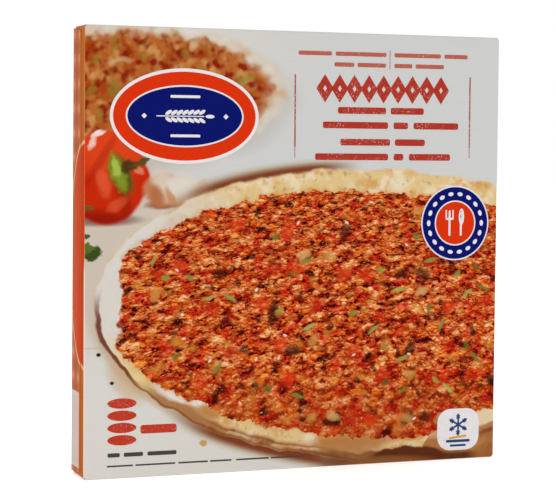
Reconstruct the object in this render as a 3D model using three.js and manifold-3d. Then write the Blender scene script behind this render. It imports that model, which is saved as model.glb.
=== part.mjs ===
// A shut folding carton for a stack of thin round flatbreads, standing upright on its bottom panel.
//
// Millimetres, +Z up. The front panel faces -Y and +X is to its right; the origin is the middle of
// the base. The carton is one closed solid. The front, top, back and bottom panels make a sleeve,
// and each end of the sleeve, at -X and +X, is shut by three layers of flap: the dust flaps that
// hinge on the top and bottom panels, the inner flap that hinges on the front panel and, outermost,
// the outer flap that hinges on the back panel. The layers show as steps one board thick.

import * as THREE from 'three';
import { mergeVertices } from 'three/addons/utils/BufferGeometryUtils.js';
import Module from 'manifold-3d';

// Driving dimensions, in millimetres
const CARTON_WIDTH = 218.5;
const CARTON_HEIGHT = 216;
const DEPTH_AT_BASE = 23.5; // the bread settles, so the carton is thickest where it stands
const DEPTH_AT_TOP = 20;
const PANEL_BOW = 0.6; // how far the middles of the front and back panels swell outwards
const BOARD = 0.45; // thickness of the folding boxboard
const CREASE_RADIUS = 0.8; // outside radius of a scored and folded edge

// End closures
const OUTER_FLAP_WIDTH = 17; // from the back crease to the outer flap's free edge
const INNER_FLAP_WIDTH = 11; // from the front crease; its free edge lies under the outer flap
const FLAP_END_GAP = 0.9; // left between the hinge end of a flap and the top or bottom panel
const FLAP_END_SLOPE = 1.8; // how much further in a flap's end lies at its free edge
const FLAP_CORNER_RADIUS = 2; // rounding of the corners at the free edge

// Glued seam: the back panel's raw edge meets the fold of the top panel's glue lap
const SEAM_WIDTH = 0.3;
const SEAM_DEPTH = 0.6;

// Mesh density
const PANEL_STEPS = 14; // divisions across the width and the height, so that the bow is smooth
const EDGE_STEPS = 2; // divisions across the depth
const CREASE_STEPS = 2; // divisions of each half of a crease's quarter circle
const CORNER_CURVE_STEPS = 4;

const OVERLAP = 0.3; // how far a flap's plate reaches past what carries it, so that they fuse
const wasm = await Module();
wasm.setup();

/** A closed three.js geometry as a manifold solid. */
function toSolid(geometry) {
  const bare = geometry.index ? geometry.clone() : geometry;
  bare.deleteAttribute('normal');
  bare.deleteAttribute('uv');
  const merged = mergeVertices(bare, 1e-5);
  const mesh = new wasm.Mesh({
    numProp: 3,
    vertProperties: new Float32Array(merged.attributes.position.array),
    triVerts: new Uint32Array(merged.index.array),
  });
  return new wasm.Manifold(mesh);
}

/** A manifold solid as a three.js geometry, with each vertex moved by place(vector). */
function toGeometry(solid, place) {
  const mesh = solid.getMesh();
  const geometry = new THREE.BufferGeometry();
  const positions = new Float32Array(mesh.vertProperties);
  geometry.setAttribute('position', new THREE.BufferAttribute(positions, 3));
  geometry.setIndex(new THREE.BufferAttribute(new Uint32Array(mesh.triVerts), 1));
  const point = new THREE.Vector3();
  const position = geometry.attributes.position;
  for (let i = 0; i < position.count; i += 1) {
    point.fromBufferAttribute(position, i);
    place(point);
    position.setXYZ(i, point.x, point.y, point.z);
  }
  geometry.computeVertexNormals();
  return geometry;
}

/** Places along one axis for a box's grid lines: fine over the two creases, even between them. */
function gridLines(half, steps) {
  const flat = half - CREASE_RADIUS;
  const crease = [];
  for (let k = 1; k <= CREASE_STEPS; k += 1) {
    crease.push(flat + CREASE_RADIUS * Math.tan((Math.PI / 4) * (k / CREASE_STEPS)));
  }
  const lines = [...crease].reverse().map((place) => -place);
  for (let k = 0; k <= steps; k += 1) {
    lines.push(flat * ((2 * k) / steps - 1));
  }
  return [...lines, ...crease];
}

/** A box whose edges are folds of the crease radius, centred on X and Y, from the base upwards. */
function foldedBox(width) {
  const half = new THREE.Vector3(width / 2, DEPTH_AT_BASE / 2, CARTON_HEIGHT / 2);
  const lines = [
    gridLines(half.x, PANEL_STEPS),
    gridLines(half.y, EDGE_STEPS),
    gridLines(half.z, PANEL_STEPS),
  ];
  const [columns, layers, rows] = lines.map((list) => list.length - 1);
  const geometry = new THREE.BoxGeometry(columns, layers, rows, columns, layers, rows);
  const position = geometry.attributes.position;
  const core = half.clone().subScalar(CREASE_RADIUS);
  const point = new THREE.Vector3();
  const nearest = new THREE.Vector3();
  for (let i = 0; i < position.count; i += 1) {
    point.fromBufferAttribute(position, i);
    point.set(
      lines[0][Math.round(point.x + columns / 2)],
      lines[1][Math.round(point.y + layers / 2)],
      lines[2][Math.round(point.z + rows / 2)],
    );
    nearest.copy(point).clamp(core.clone().negate(), core);
    point.sub(nearest).setLength(CREASE_RADIUS).add(nearest);
    position.setXYZ(i, point.x, point.y, point.z + half.z);
  }
  return toSolid(geometry);
}

/**
 * The outline of a flap, in (distance from its hinge, height), cut to slope in at both ends and
 * rounded at the free corners. It starts behind the hinge, so that it reaches round the crease.
 */
function flapOutline(flapWidth) {
  const low = FLAP_END_GAP;
  const lowTip = FLAP_END_GAP + FLAP_END_SLOPE;
  const r = FLAP_CORNER_RADIUS;
  const outline = new THREE.Shape();
  outline.moveTo(-OVERLAP, low);
  outline.lineTo(CREASE_RADIUS, low);
  outline.lineTo(flapWidth - r, lowTip);
  outline.quadraticCurveTo(flapWidth, lowTip, flapWidth, lowTip + r);
  outline.lineTo(flapWidth, CARTON_HEIGHT - lowTip - r);
  outline.quadraticCurveTo(
    flapWidth,
    CARTON_HEIGHT - lowTip,
    flapWidth - r,
    CARTON_HEIGHT - lowTip,
  );
  outline.lineTo(CREASE_RADIUS, CARTON_HEIGHT - low);
  outline.lineTo(-OVERLAP, CARTON_HEIGHT - low);
  return outline;
}

/**
 * The two flaps, one at each end, whose outer faces are `width` apart. `hinge` is 1 where they
 * hinge on the back panel and -1 where they hinge on the front panel.
 */
function flapPair(width, flapWidth, hinge) {
  const reach = 2 * BOARD + CREASE_RADIUS + OVERLAP;
  const region = new THREE.ExtrudeGeometry(flapOutline(flapWidth), {
    depth: reach,
    bevelEnabled: false,
    curveSegments: CORNER_CURVE_STEPS,
  });
  // The outline's first axis becomes the direction from the hinge, its second axis the height
  const alongDepth = new THREE.Vector3(0, -hinge, 0);
  const upwards = new THREE.Vector3(0, 0, 1);
  const outwards = alongDepth.clone().cross(upwards);
  const turn = new THREE.Matrix4().makeBasis(alongDepth, upwards, outwards);
  region.applyMatrix4(turn);
  region.translate(0, (hinge * DEPTH_AT_BASE) / 2, 0);
  const end = width / 2 + OVERLAP;
  const inward = outwards.x > 0 ? -reach : 0;
  const rightRegion = region.clone().translate(end + inward, 0, 0);
  const leftRegion = region.clone().translate(-end + reach + inward, 0, 0);
  const bothEnds = toSolid(rightRegion).add(toSolid(leftRegion));
  return foldedBox(width).intersect(bothEnds);
}

/** The groove along the top's back edge, between the glue lap's fold and the back panel's edge. */
function seamGroove() {
  const groove = new THREE.BoxGeometry(CARTON_WIDTH, SEAM_WIDTH, 2 * SEAM_DEPTH);
  groove.translate(0, DEPTH_AT_BASE / 2 - BOARD - SEAM_WIDTH / 2, CARTON_HEIGHT);
  return toSolid(groove);
}

/** Leans the front and back panels together towards the top and swells their middles. */
function settle(point) {
  const side = point.y / (DEPTH_AT_BASE / 2);
  const height = point.z / CARTON_HEIGHT;
  const halfDepth = (DEPTH_AT_BASE + (DEPTH_AT_TOP - DEPTH_AT_BASE) * height) / 2;
  const across = point.x / (CARTON_WIDTH / 2);
  const up = 2 * height - 1;
  const bow = PANEL_BOW * (1 - across * across) * (1 - up * up);
  point.y = side * (halfDepth + bow);
}

const dustFlapLevel = CARTON_WIDTH - 4 * BOARD;
const innerFlapLevel = CARTON_WIDTH - 2 * BOARD;
const body = foldedBox(dustFlapLevel)
  .add(flapPair(innerFlapLevel, INNER_FLAP_WIDTH, -1))
  .add(flapPair(CARTON_WIDTH, OUTER_FLAP_WIDTH, 1))
  .subtract(seamGroove());

const printedBoard = new THREE.MeshStandardMaterial({
  name: 'printed_board',
  color: '#c9a79b',
  roughness: 0.42,
  metalness: 0,
});

const carton = new THREE.Mesh(toGeometry(body, settle), printedBoard);
carton.name = 'carton';

const part = new THREE.Group();
part.add(carton);

export default part;
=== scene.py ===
import math
from contextlib import contextmanager

import bmesh
import bpy
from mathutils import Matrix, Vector


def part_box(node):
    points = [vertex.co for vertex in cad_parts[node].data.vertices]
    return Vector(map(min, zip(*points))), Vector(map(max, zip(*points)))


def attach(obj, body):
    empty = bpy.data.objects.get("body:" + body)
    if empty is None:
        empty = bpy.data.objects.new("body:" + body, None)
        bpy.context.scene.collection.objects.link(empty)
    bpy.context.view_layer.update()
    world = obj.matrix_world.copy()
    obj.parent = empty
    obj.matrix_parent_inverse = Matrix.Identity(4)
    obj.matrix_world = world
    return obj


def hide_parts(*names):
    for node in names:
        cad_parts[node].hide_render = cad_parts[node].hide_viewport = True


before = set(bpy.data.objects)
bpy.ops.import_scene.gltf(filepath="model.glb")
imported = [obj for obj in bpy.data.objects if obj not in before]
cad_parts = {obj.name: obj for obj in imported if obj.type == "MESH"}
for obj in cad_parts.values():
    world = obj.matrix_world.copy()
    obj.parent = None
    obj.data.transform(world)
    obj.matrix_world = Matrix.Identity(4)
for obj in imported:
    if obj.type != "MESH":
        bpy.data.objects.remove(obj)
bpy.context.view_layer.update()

bl_info = {
    "name": "Frozen flatbread carton",
    "version": (1, 0, 0),
    "blender": (4, 5, 0),
    "location": "View3D > Sidebar > Carton",
    "description": "A shut folding carton with a generic serving picture, on a pale studio floor",
    "category": "Object",
}

CAD_LOW, CAD_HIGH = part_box("carton")
BODY = "root"
MM = 0.001
NEAR = 0.1 * MM  # a point that is closer than this to a plane lies on it
OVERLAP = 0.3 * MM  # how far a flap's slab reaches past the box that it cuts

# The groove between the fold of the top panel's glue lap and the back panel's raw edge
SEAM_WIDTH = 0.3 * MM
SEAM_DEPTH = 0.6 * MM

# Attributes that keep where a point lay, in millimetres, before the carton filled out
FLAT = ("flat_x", "flat_y", "flat_z")
BAKE_MAP = "OFBake"

# Mesh density and shading
PANEL_CUTS = 27  # cuts across the width and the height, so that the bow is smooth
INK_CUTS = 11  # the same for a plate of ink, so that it follows the bow
FOLD_SEGMENTS = 6  # an even number, so that two sheets can meet at the middle of a fold
CORNER_SEGMENTS = 6
BAR_SEGMENTS = 4
SMOOTH_ANGLE = math.radians(30)  # an edge that turns by more than this stays sharp


def linear(hex_code):
    """An sRGB hex colour as linear red, green and blue."""
    parts = [int(hex_code[i:i + 2], 16) / 255 for i in (1, 3, 5)]
    return tuple(c / 12.92 if c <= 0.04045 else ((c + 0.055) / 1.055) ** 2.4 for c in parts)


def rgba(ink):
    """An ink, as a hex code or as linear red, green and blue, with full alpha."""
    return (*(linear(ink) if isinstance(ink, str) else tuple(ink)[:3]), 1.0)


# ---------------------------------------------------------------- properties


def length(name, description, millimetres):
    """A property that is given here in millimetres and kept in metres."""
    return bpy.props.FloatProperty(
        name=name, description=description, default=millimetres * MM,
        unit="LENGTH", subtype="DISTANCE", precision=5,
    )


def colour(name, description, hex_code):
    """A property that holds the linear colour of an ink."""
    return bpy.props.FloatVectorProperty(
        name=name, description=description, default=linear(hex_code),
        subtype="COLOR", size=3, min=0.0, max=1.0,
    )


class CartonSizes(bpy.types.PropertyGroup):
    width: length("Width", "Across the outer flaps", (CAD_HIGH.x - CAD_LOW.x) / MM)
    height: length("Height", "From the base to the top panel", (CAD_HIGH.z - CAD_LOW.z) / MM)
    depth_at_base: length("Depth at base", "Front to back where it stands", 23.5)
    depth_at_top: length("Depth at top", "Front to back at the top panel", 20.0)
    bow: length("Panel bow", "Swell of the front and back panels at their middles", 0.6)
    board: length("Board", "Thickness of the folding boxboard", 0.45)
    crease: length("Crease radius", "Outside radius of a folded edge", 0.8)
    outer_flap: length("Outer flap", "Back crease to the outer flap's free edge", 17.0)
    inner_flap: length("Inner flap", "Front crease to the inner flap's free edge", 11.0)
    flap_gap: length("Flap end gap", "Hinge end of a flap to the top or base panel", 0.9)
    flap_slope: length("Flap end slope", "How far a flap's end slopes in", 1.8)
    flap_corner: length("Flap corner", "Radius of a flap's free corners", 2.0)
    film: length("Print film", "Clay coat, ink and varnish together", 0.04)
    ink_step: length("Ink step", "How far each overprinted shape stands proud", 0.03)


class CartonColours(bpy.types.PropertyGroup):
    red: colour("Spot red", "Red of the label and discs", "#DC3208")
    brick: colour("Brick red", "Red of the title and its lines", "#B03426")
    navy: colour("Navy", "Dark blue of the label and roundel", "#061268")
    paper: colour("Paper white", "White of borders and motifs", "#E9E5E6")
    ochre: colour("Ochre", "Yellow of the small badge", "#D9A52E")
    charcoal: colour("Charcoal", "Dark grey of the small bars", "#4A4642")
    terracotta: colour("Terracotta", "Ground of the end, top and base panels", "#B86440")


# ---------------------------------------------------------------- modelling by hand


def activate(piece):
    """Selects one piece alone, for the operators that follow."""
    bpy.ops.object.select_all(action="DESELECT")
    piece.select_set(True)
    bpy.context.view_layer.objects.active = piece


@contextmanager
def editing(piece):
    """Keeps a piece in edit mode for the length of a with block."""
    activate(piece)
    bpy.ops.object.mode_set(mode="EDIT")
    yield
    bpy.ops.object.mode_set(mode="OBJECT")


def pick(piece, kind, test):
    """Selects the vertices, edges or faces of the edit mesh that pass the test, and no others."""
    bpy.ops.mesh.select_mode(type=kind)
    bpy.ops.mesh.select_all(action="DESELECT")
    mesh = bmesh.from_edit_mesh(piece.data)
    for element in {"VERT": mesh.verts, "EDGE": mesh.edges, "FACE": mesh.faces}[kind]:
        if test(element):
            element.select_set(True)
    mesh.select_flush_mode()
    bmesh.update_edit_mesh(piece.data)


def runs_along(edge, axis):
    """Whether an edge runs along X, Y or Z, which are 0, 1 and 2."""
    span = edge.verts[1].co - edge.verts[0].co
    return abs(span[axis]) > 0.9 * span.length


def add_cube(name, low, high):
    """A cube primitive stretched in edit mode to reach from one corner to the other."""
    bpy.ops.object.select_all(action="DESELECT")
    bpy.ops.mesh.primitive_cube_add(size=1.0)
    piece = bpy.context.object
    piece.name = name
    low, high = Vector(low), Vector(high)
    with editing(piece):
        bpy.ops.mesh.select_all(action="SELECT")
        bpy.ops.transform.resize(value=high - low)
        bpy.ops.transform.translate(value=(low + high) / 2)
    return piece


def combine(piece, tool, operation):
    """Applies a Boolean with a second piece, which is used up."""
    activate(piece)
    modifier = piece.modifiers.new(operation.lower(), "BOOLEAN")
    modifier.object = tool
    modifier.operation = operation
    modifier.solver = "MANIFOLD"
    bpy.ops.object.modifier_apply(modifier=modifier.name)
    bpy.data.objects.remove(tool, do_unlink=True)


def add_folded_box(name, width, sizes):
    """A box whose twelve edges are scored folds, standing on the floor."""
    half_x, half_y = width / 2, sizes.depth_at_base / 2
    box = add_cube(name, (-half_x, -half_y, 0), (half_x, half_y, sizes.height))

    def walls_touched(edge):
        middle = (edge.verts[0].co + edge.verts[1].co) / 2
        return (
            (abs(abs(middle.x) - half_x) < NEAR)
            + (abs(abs(middle.y) - half_y) < NEAR)
            + (min(abs(middle.z), abs(middle.z - sizes.height)) < NEAR)
        )

    with editing(box):
        for axis in (0, 2):
            pick(box, "EDGE", lambda edge: runs_along(edge, axis))
            bpy.ops.mesh.subdivide(number_cuts=PANEL_CUTS, quadcorner="STRAIGHT_CUT")
        pick(box, "EDGE", lambda edge: walls_touched(edge) == 2)
        bpy.ops.mesh.bevel(offset=sizes.crease, segments=FOLD_SEGMENTS, affect="EDGES")
    return box


def add_flap_region(name, width, reach, flap_width, hinge, side, sizes):
    """A slab with a flap's outline: sloped ends and rounded corners at the free edge."""
    hinge_y = hinge * sizes.depth_at_base / 2
    free_y = hinge_y - hinge * flap_width
    behind_y = hinge_y + hinge * OVERLAP
    inner_x, outer_x = side * (width / 2 - reach), side * (width / 2 + OVERLAP)
    low = (min(inner_x, outer_x), min(free_y, behind_y), sizes.flap_gap)
    high = (max(inner_x, outer_x), max(free_y, behind_y), sizes.height - sizes.flap_gap)
    slab = add_cube(name, low, high)
    middle = sizes.height / 2
    with editing(slab):
        for end in (-1, 1):
            pick(slab, "VERT", lambda v: abs(v.co.y - free_y) < NEAR and (v.co.z - middle) * end > 0)
            bpy.ops.transform.translate(value=(0, 0, -end * sizes.flap_slope))
        pick(
            slab, "EDGE",
            lambda edge: runs_along(edge, 0) and abs(edge.verts[0].co.y - free_y) < NEAR,
        )
        bpy.ops.mesh.bevel(offset=sizes.flap_corner, segments=CORNER_SEGMENTS, affect="EDGES")
    return slab


def add_flap(name, width, flap_width, hinge, side, sizes):
    """What a slab with the flap's outline leaves of a folded box. `hinge` is 1 for a flap of the back
    panel and -1 for one of the front panel; `side` is 1 at the right end and -1 at the left."""
    reach = 2 * sizes.board + sizes.crease + OVERLAP
    flap = add_folded_box(name, width, sizes)
    region = add_flap_region(name + "_region", width, reach, flap_width, hinge, side, sizes)
    combine(flap, region, "INTERSECT")
    return flap


def settle(piece, sizes):
    """Fills the carton out: the depth eases towards the top and the two large panels bow.
    Each point's flat place is kept first, so that the print doesn't stretch."""
    mesh = piece.data
    kept = [mesh.attributes.new(name, "FLOAT", "POINT").data for name in FLAT]
    for vertex in mesh.vertices:
        for axis in range(3):
            kept[axis][vertex.index].value = vertex.co[axis] / MM
        across = 2 * vertex.co.x / sizes.width
        share = vertex.co.z / sizes.height
        half_depth = (sizes.depth_at_base + (sizes.depth_at_top - sizes.depth_at_base) * share) / 2
        bow = sizes.bow * max(0, 1 - across ** 2) * max(0, 1 - (2 * share - 1) ** 2)
        vertex.co.y *= (half_depth + bow) / (sizes.depth_at_base / 2)
    mesh.update()


def finish_piece(piece, material, sizes):
    """Settles a piece with the carton, gives it its material and rides it on the carton's body."""
    settle(piece, sizes)
    if material is not None:
        piece.data.materials.clear()
        piece.data.materials.append(material)
    activate(piece)
    bpy.ops.object.shade_smooth_by_angle(angle=SMOOTH_ANGLE)
    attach(piece, BODY)


# Overprinted shapes are modelled in millimetres on an artboard at the origin: across is X, up is Z,
# the viewer is at -Y, and each shape is a plate 1 mm thick. emboss() then thins them and lays them
# on a panel.


def set_out(shape, places):
    """Copies of a shape, each with its own mesh, at (across, up) or (across, up, turn) in degrees."""
    copies = []
    for across, up, *turn in places:
        copy = shape.copy()
        copy.data = shape.data.copy()
        copy.location = (across * MM, 0, up * MM)
        copy.rotation_euler = (0, -math.radians(turn[0]) if turn else 0, 0)
        bpy.context.scene.collection.objects.link(copy)
        copies.append(copy)
    bpy.data.objects.remove(shape, do_unlink=True)
    return copies


def add_bars(width, height, corner, places):
    """Plates with rounded corners, set out at their places."""
    half_u, half_v = width / 2 * MM, height / 2 * MM
    bar = add_cube("bar", (-half_u, -MM, -half_v), (half_u, 0, half_v))
    with editing(bar):
        pick(bar, "EDGE", lambda edge: runs_along(edge, 1))
        bpy.ops.mesh.bevel(offset=corner * MM, segments=BAR_SEGMENTS, affect="EDGES")
    return set_out(bar, places)


def add_discs(radius_u, radius_v, sides, places):
    """Round or oval plates, set out at their places; those with four sides are lozenges."""
    bpy.ops.object.select_all(action="DESELECT")
    bpy.ops.mesh.primitive_cylinder_add(
        vertices=sides, radius=1.0, depth=MM, rotation=(math.pi / 2, 0, 0),
    )
    bpy.ops.object.transform_apply(rotation=True)
    disc = bpy.context.object
    with editing(disc):
        bpy.ops.mesh.select_all(action="SELECT")
        bpy.ops.transform.resize(value=(radius_u * MM, 1, radius_v * MM))
        bpy.ops.transform.translate(value=(0, -MM / 2, 0))
    return set_out(disc, places)


def emboss(name, shapes, layer, material, sizes, on_back=False):
    """Joins shapes into one piece, thins it to its layer of ink and lays it on the front or back."""
    bpy.ops.object.select_all(action="DESELECT")
    for shape in shapes:
        shape.select_set(True)
    bpy.context.view_layer.objects.active = shapes[0]
    bpy.ops.object.transform_apply(location=True, rotation=True, scale=True)
    if len(shapes) > 1:
        bpy.ops.object.join()
    piece = bpy.context.object
    piece.name = name
    thickness = sizes.film / 2 + layer * sizes.ink_step
    surface = sizes.depth_at_base / 2
    with editing(piece):
        bpy.ops.mesh.select_all(action="SELECT")
        bpy.ops.transform.resize(value=(1, thickness / MM, 1), center_override=(0, 0, 0))
        for cut in range(1, INK_CUTS + 1):
            share = cut / (INK_CUTS + 1)
            for plane, normal in (
                (((share - 0.5) * sizes.width, 0, 0), (1, 0, 0)),
                ((0, 0, share * sizes.height), (0, 0, 1)),
            ):
                bpy.ops.mesh.select_all(action="SELECT")
                bpy.ops.mesh.bisect(plane_co=plane, plane_no=normal)
        bpy.ops.mesh.select_all(action="SELECT")
        if on_back:
            bpy.ops.transform.rotate(value=math.pi, orient_axis="Z", center_override=(0, 0, 0))
        bpy.ops.transform.translate(value=(0, surface if on_back else -surface, 0))
    finish_piece(piece, material, sizes)


# ---------------------------------------------------------------- materials

# Millimetres, seen on offset-printed boxboard
MOTTLE_SIZE = 6.0  # uneven gloss of the varnish
FIBRE_SIZE = 0.45  # orange peel over the board's fibres
FIBRE_DEPTH = 0.02
PAPER_SHADE = "#ECECEC"  # light that the clay coat keeps back even where it is bare


def node(tree, kind, inputs=(), output=0, **settings):
    """Adds a shader node with its settings and its inputs, values or links, and gives one of its
    outputs, or the node itself where output is None."""
    made = tree.nodes.new("ShaderNode" + kind)
    for name, value in settings.items():
        setattr(made, name, value)
    for key, value in inputs.items() if isinstance(inputs, dict) else enumerate(inputs):
        if isinstance(value, bpy.types.NodeSocket):
            tree.links.new(value, made.inputs[key])
        else:
            made.inputs[key].default_value = value
    return made if output is None else made.outputs[output]


class Print:
    """One printed surface: a plane in millimetres on which fields of ink are laid in turn.

    The plane's two coordinates are plain numbers, and patterns read the piece's own place. So the
    nodes follow one another without conversions, which keeps a long stack of inks within what
    the renderer can hold."""

    def __init__(self, name, across=FLAT[0], up=FLAT[2], turn=(-90, 0, 0)):
        self.material = bpy.data.materials.new(name)
        self.material.use_nodes = True
        self.tree = self.material.node_tree
        self.tree.nodes.clear()
        self.place = self.node("TexCoord", output="Object")
        self.turn = tuple(math.radians(angle) for angle in turn)
        self.flat = tuple(
            self.node("Attribute", output="Fac", attribute_name=name) for name in (across, up)
        )
        self.ink = None

    def node(self, kind, inputs=(), output=0, **settings):
        return node(self.tree, kind, inputs, output, **settings)

    def fade(self, value, low, high, soft=True, to=(0.0, 1.0)):
        """How far a value has come from low to high, which may be the smaller of the two."""
        kind = "SMOOTHSTEP" if soft else "LINEAR"
        return self.node("MapRange", (value, low, high, *to), interpolation_type=kind, clamp=False)

    def point(self, flat):
        """Where a pattern is read: at given flat coordinates, or at the piece's own place."""
        if flat is not None:
            return self.node("CombineXYZ", flat)
        return self.node("Mapping", {0: self.place, 2: self.turn, 3: (1 / MM,) * 3})

    def patches(
        self, size, detail=2.0, roughness=0.5, flat=None, seed=0.0, stretch=(1, 1), output="Fac",
    ):
        """Cloudy patches of about a given size. The seed moves them to a part of their own."""
        shifted = self.node("Mapping", {
            0: self.point(flat),
            1: (seed * 37.0, seed * 19.0, 0),
            3: (1 / stretch[0], 1 / stretch[1], 1),
        })
        cloud = {"Vector": shifted, "Scale": 1 / size, "Detail": detail, "Roughness": roughness}
        return self.node("TexNoise", cloud, output, noise_dimensions="2D")

    def wobble(self, size, amount, seed=0.0, detail=2.0, flat=None):
        """The flat coordinates, pushed about by up to about `amount`, over a length of `size`."""
        cloud = self.patches(size, detail, flat=flat, seed=seed, output="Color")
        push = self.node("SeparateColor", (cloud,), None).outputs
        moved = []
        for axis, place in enumerate(flat or self.flat):
            shift = self.node("Math", (push[axis], 2 * amount, -amount), operation="MULTIPLY_ADD")
            moved.append(self.node("Math", (shift, place), operation="ADD"))
        return tuple(moved)

    def reach(self, centre, radii, angle=0.0, flat=None):
        """The square of how far a point lies from an ellipse's centre, as a share of its radius."""
        u, v = flat or self.flat
        square = 0.0
        for turn, radius in ((0, radii[0]), (90, radii[1])):
            along_u = math.cos(math.radians(angle + turn)) / radius
            along_v = math.sin(math.radians(angle + turn)) / radius
            start = -(centre[0] * along_u + centre[1] * along_v)
            along = self.node("Math", (u, along_u, start), operation="MULTIPLY_ADD")
            along = self.node("Math", (v, along_v, along), operation="MULTIPLY_ADD")
            square = self.node("Math", (along, along, square), operation="MULTIPLY_ADD")
        return square

    def within(self, reach, share=1.0, edge=0.01):
        """A mask that is 1 up to a share of an ellipse's radius, with a soft edge."""
        return self.fade(reach, (share + edge) ** 2, (share - edge) ** 2)

    def spot(self, centre, radii, angle=0.0, edge=0.1, flat=None):
        """A mask that is 1 inside an ellipse, with a soft edge."""
        return self.within(self.reach(centre, radii, angle, flat), 1.0, edge)

    def off(self, place, middle):
        """How far a coordinate lies from a middle, to either side."""
        away = self.node("Math", (place, middle), operation="SUBTRACT")
        return self.node("Math", (away,), operation="ABSOLUTE")

    def block(self, centre, half, edge):
        """A mask that is 1 inside an upright rectangle, with a soft edge."""
        return self.times(*(
            self.fade(self.off(place, middle), reach + edge, reach - edge)
            for place, middle, reach in zip(self.flat, centre, half)
        ))

    def times(self, *masks):
        """Where all the masks hold at once."""
        product = masks[0]
        for mask in masks[1:]:
            product = self.node("Math", (product, mask), operation="MULTIPLY")
        return product

    def lay(self, ink, mask=None, strength=1.0, blend="MIX"):
        """Lays an ink, a colour or a colour socket, over what is there already."""
        value = ink if isinstance(ink, bpy.types.NodeSocket) else rgba(ink)
        if self.ink is None:
            self.ink = self.node("CombineColor", value[:3]) if isinstance(value, tuple) else value
            return
        if mask is None:
            factor = strength
        elif strength == 1.0:
            factor = mask
        else:
            factor = self.node("Math", (mask, strength), operation="MULTIPLY")
        layers = {0: factor, 6: self.ink, 7: value}
        self.ink = self.node("Mix", layers, 2, data_type="RGBA", blend_type=blend)

    def spots(self, rows, mask=None, flat=None):
        """Lays soft ellipses of ink, one for each row, where the mask holds. A row is the centre, the
        radii, the turn in degrees, the edge's softness, the ink and its strength."""
        for centre, radii, angle, edge, ink, strength in rows:
            spot = self.spot(centre, radii, angle, edge, flat)
            self.lay(ink, spot if mask is None else self.times(mask, spot), strength)

    def clouds(self, rows, mask, scale=1.0):
        """Lays cloudy patches of ink where the mask holds. A row is the ink, the patches' size, detail
        and seed, the levels at which they begin and are full, and the ink's strength."""
        for ink, size, detail, seed, low, high, strength in rows:
            patch = self.fade(self.patches(size * scale, detail, seed=seed), low, high)
            self.lay(ink, self.times(mask, patch), strength)

    def shade(self, factor, low, high):
        """Darkens or lightens the inks laid so far, by a grey level."""
        level = self.fade(factor, 0.0, 1.0, soft=False, to=(low, high))
        self.lay(self.node("CombineColor", (level, level, level)), blend="MULTIPLY")

    def varnish(self, roughness=0.42, level=0.03):
        """Satin press varnish: its gloss changes slightly from place to place, and a faint orange
        peel shows over the fibres."""
        self.lay(PAPER_SHADE, blend="MULTIPLY")
        place = self.node("Mapping", {0: self.place, 3: (1 / MM,) * 3})
        mottle = self.node("TexNoise", {"Vector": place, "Scale": 1 / MOTTLE_SIZE, "Detail": 3.0})
        gloss = self.fade(mottle, 0.3, 0.7, soft=False, to=(roughness - 0.05, roughness + 0.05))
        fibres = self.node("TexNoise", {
            "Vector": place, "Scale": 1 / FIBRE_SIZE, "Detail": 3.0, "Roughness": 0.6,
        })
        peel_depth = FIBRE_DEPTH * MM
        bump = self.node("Bump", {"Strength": 0.35, "Distance": peel_depth, "Height": fibres})
        shader = self.node("BsdfPrincipled", {
            "Base Color": self.ink, "Roughness": gloss, "IOR": 1.5,
            "Specular IOR Level": level, "Normal": bump,
        })
        self.node("OutputMaterial", (shader,), None)
        return self.material


def coated_kraft_board(terracotta):
    """Folding boxboard of unbleached kraft pulp, pressed from layers and clay-coated: brown, fibrous
    cut edges, and the terracotta bleed of the print on the dust flaps, matt where they rub."""
    board = Print("coated_kraft_board")
    board.lay("#C67A40")
    fibre = board.patches(0.5, 4.0, 0.65)
    board.lay("#A86A3C", board.fade(fibre, 0.52, 0.75), 0.6)
    board.lay("#E8B688", board.fade(fibre, 0.45, 0.25), 0.6)
    facing = board.node("NewGeometry", output="Normal")
    sideways = board.node("SeparateXYZ", (facing,), 0)
    sideways = board.node("Math", (sideways,), operation="ABSOLUTE")
    board.lay(terracotta, board.fade(sideways, 0.8, 0.9), 0.9)
    return board.varnish(roughness=0.75, level=0.3)


def spot_ink(name, ink, worn=0.0):
    """One spot colour printed solid over the picture: an even coat with a slight press mottle, and
    where it is worn, small specks and scuffs of the pale ground."""
    art = Print(name)
    art.lay(ink)
    art.shade(art.patches(2.5, 3.0), 0.94, 1.06)
    if worn:
        specks = art.fade(art.patches(0.9, 3.0, 0.7, seed=2), 0.66 - 0.1 * worn, 0.72 - 0.1 * worn)
        scuffs = art.fade(art.patches(9, 2.0, seed=3), 0.35, 0.65)
        art.lay("#D8CFC8", art.times(specks, scuffs), 0.85)
    return art.varnish()


PLANK_GRAIN = {"size": 1.1, "detail": 3.0, "seed": 3, "stretch": (30, 1)}


def lay_table(art):
    """Whitewashed planks: a pale ground that warms towards the left."""
    art.lay("#D0D0CE")
    art.spots((
        ((-109, 216), (80, 60), 0, 0.6, "#D8D3CB", 1.0),
        ((-112, 105), (52, 42), 0, 0.7, "#CFC1B2", 1.0),
        ((-85, 8), (85, 50), 0, 0.6, "#DBD8D1", 1.0),
    ))
    art.shade(art.patches(**PLANK_GRAIN), 0.98, 1.02)
    art.lay("#A79A8E", art.block((-109, 63), (26, 0.3), edge=0.5), 0.5)


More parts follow.
